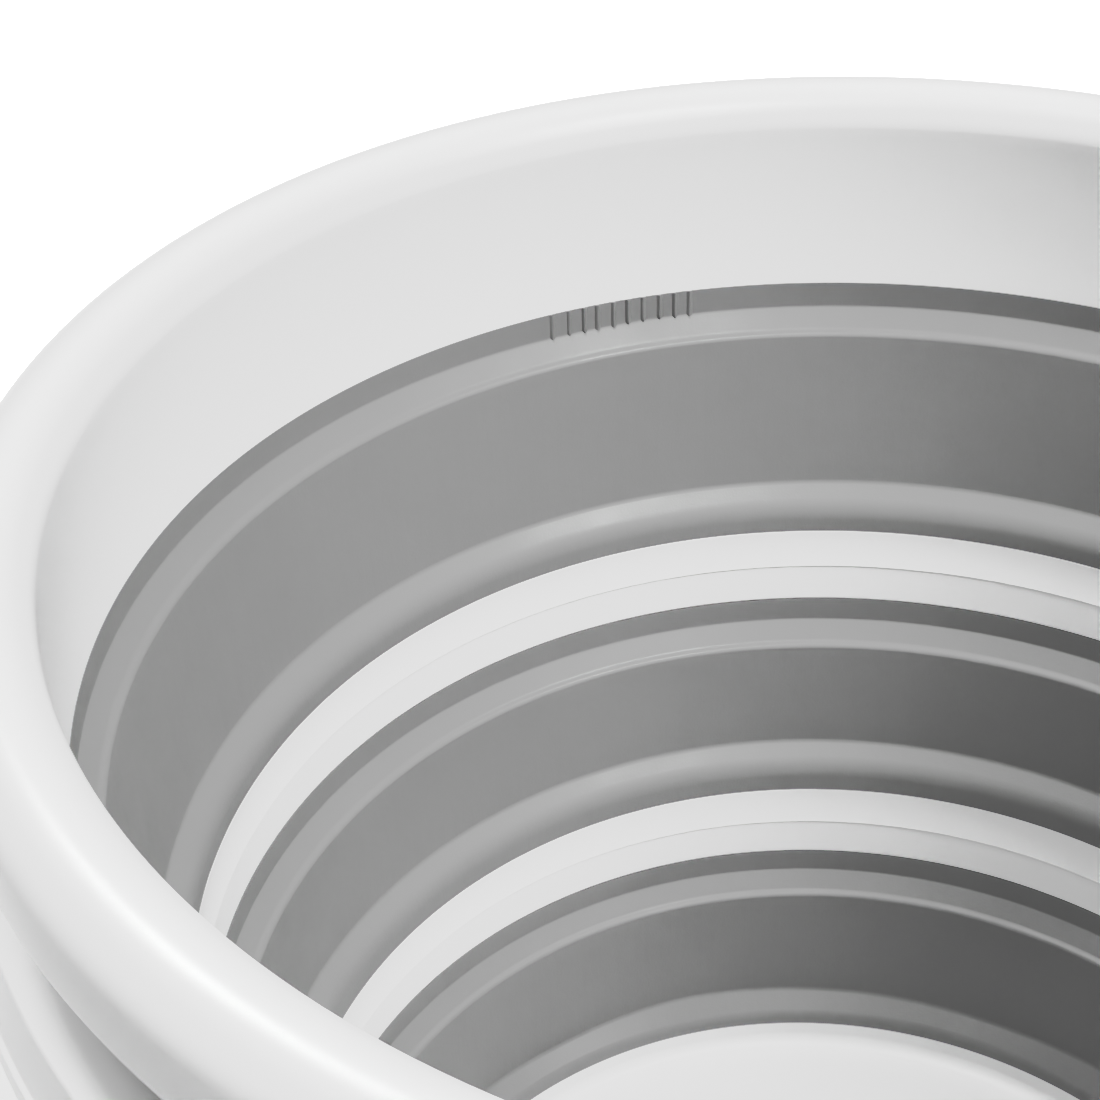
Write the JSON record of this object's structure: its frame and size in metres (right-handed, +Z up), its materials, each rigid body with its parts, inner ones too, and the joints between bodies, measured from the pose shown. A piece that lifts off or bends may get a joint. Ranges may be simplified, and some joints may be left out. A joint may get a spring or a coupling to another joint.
{
  "type": "foot spa basin",
  "caption": "Deep round collapsible foot-soaking basin with folding bands, a rolled rim, a swing handle and lift-out massage rollers.",
  "frame": {"origin": "on the floor, on the basin's axis", "axes": "+Z up along the basin's axis; +Y towards the side where the carry handle lies folded down; the handle swings about X"},
  "size_m": [0.4208, 0.4082, 0.3104],
  "materials": {
    "white_plastic": "satin moulded polypropylene",
    "grey_elastomer": "satin moulded elastomer",
    "grey_plastic": "satin",
    "axle_steel": "ground"
  },
  "bodies": {
    "base": {"tray_base": "white_plastic", "non_slip_feet": "grey_elastomer", "bellows_lower": "grey_elastomer", "roller_cradle_left": "white_plastic", "roller_cradle_right": "white_plastic", "roller_axles_left": "axle_steel", "roller_axles_right": "axle_steel"},
    "lower_ring": {"ring_lower": "white_plastic", "bellows_middle": "grey_elastomer"},
    "upper_ring": {"ring_upper": "white_plastic", "bellows_upper": "grey_elastomer"},
    "rim": {"rim_collar": "white_plastic", "rim_skirt": "white_plastic", "handle_pivot_pins": "white_plastic"},
    "handle": {"carry_handle": "white_plastic", "handle_grip": "grey_elastomer"},
    "roller_left_1": {"massage_roller_left_1": "grey_plastic"},
    "roller_left_2": {"massage_roller_left_2": "grey_plastic"},
    "roller_left_3": {"massage_roller_left_3": "grey_plastic"},
    "roller_left_4": {"massage_roller_left_4": "grey_plastic"},
    "roller_right_1": {"massage_roller_right_1": "grey_plastic"},
    "roller_right_2": {"massage_roller_right_2": "grey_plastic"},
    "roller_right_3": {"massage_roller_right_3": "grey_plastic"},
    "roller_right_4": {"massage_roller_right_4": "grey_plastic"}
  },
  "joints": [
    {"name": "lower_fold", "type": "slide", "parent": "base", "child": "lower_ring", "axis": [0, 0, 1], "range_m": [-0.0602, 0], "deforming": ["bellows_lower"]},
    {"name": "middle_fold", "type": "slide", "parent": "lower_ring", "child": "upper_ring", "axis": [0, 0, 1], "range_m": [-0.0835, 0], "deforming": ["bellows_middle"]},
    {"name": "upper_fold", "type": "slide", "parent": "upper_ring", "child": "rim", "axis": [0, 0, 1], "range_m": [-0.0922, 0], "deforming": ["bellows_upper"]},
    {"name": "handle_swing", "type": "hinge", "parent": "rim", "child": "handle", "pos_m": [0, 0, 0.2584], "axis": [1, 0, 0], "range_deg": [0, 180]},
    {"name": "spin_left_1", "type": "hinge", "parent": "base", "child": "roller_left_1", "pos_m": [-0.043, -0.0455, 0.0224], "axis": [1, 0, 0], "continuous": true},
    {"name": "spin_left_2", "type": "hinge", "parent": "base", "child": "roller_left_2", "pos_m": [-0.043, -0.0205, 0.0224], "axis": [1, 0, 0], "continuous": true},
    {"name": "spin_left_3", "type": "hinge", "parent": "base", "child": "roller_left_3", "pos_m": [-0.043, 0.0045, 0.0224], "axis": [1, 0, 0], "continuous": true},
    {"name": "spin_left_4", "type": "hinge", "parent": "base", "child": "roller_left_4", "pos_m": [-0.043, 0.0295, 0.0224], "axis": [1, 0, 0], "continuous": true},
    {"name": "spin_right_1", "type": "hinge", "parent": "base", "child": "roller_right_1", "pos_m": [0.043, -0.0455, 0.0224], "axis": [1, 0, 0], "continuous": true},
    {"name": "spin_right_2", "type": "hinge", "parent": "base", "child": "roller_right_2", "pos_m": [0.043, -0.0205, 0.0224], "axis": [1, 0, 0], "continuous": true},
    {"name": "spin_right_3", "type": "hinge", "parent": "base", "child": "roller_right_3", "pos_m": [0.043, 0.0045, 0.0224], "axis": [1, 0, 0], "continuous": true},
    {"name": "spin_right_4", "type": "hinge", "parent": "base", "child": "roller_right_4", "pos_m": [0.043, 0.0295, 0.0224], "axis": [1, 0, 0], "continuous": true}
  ]
}
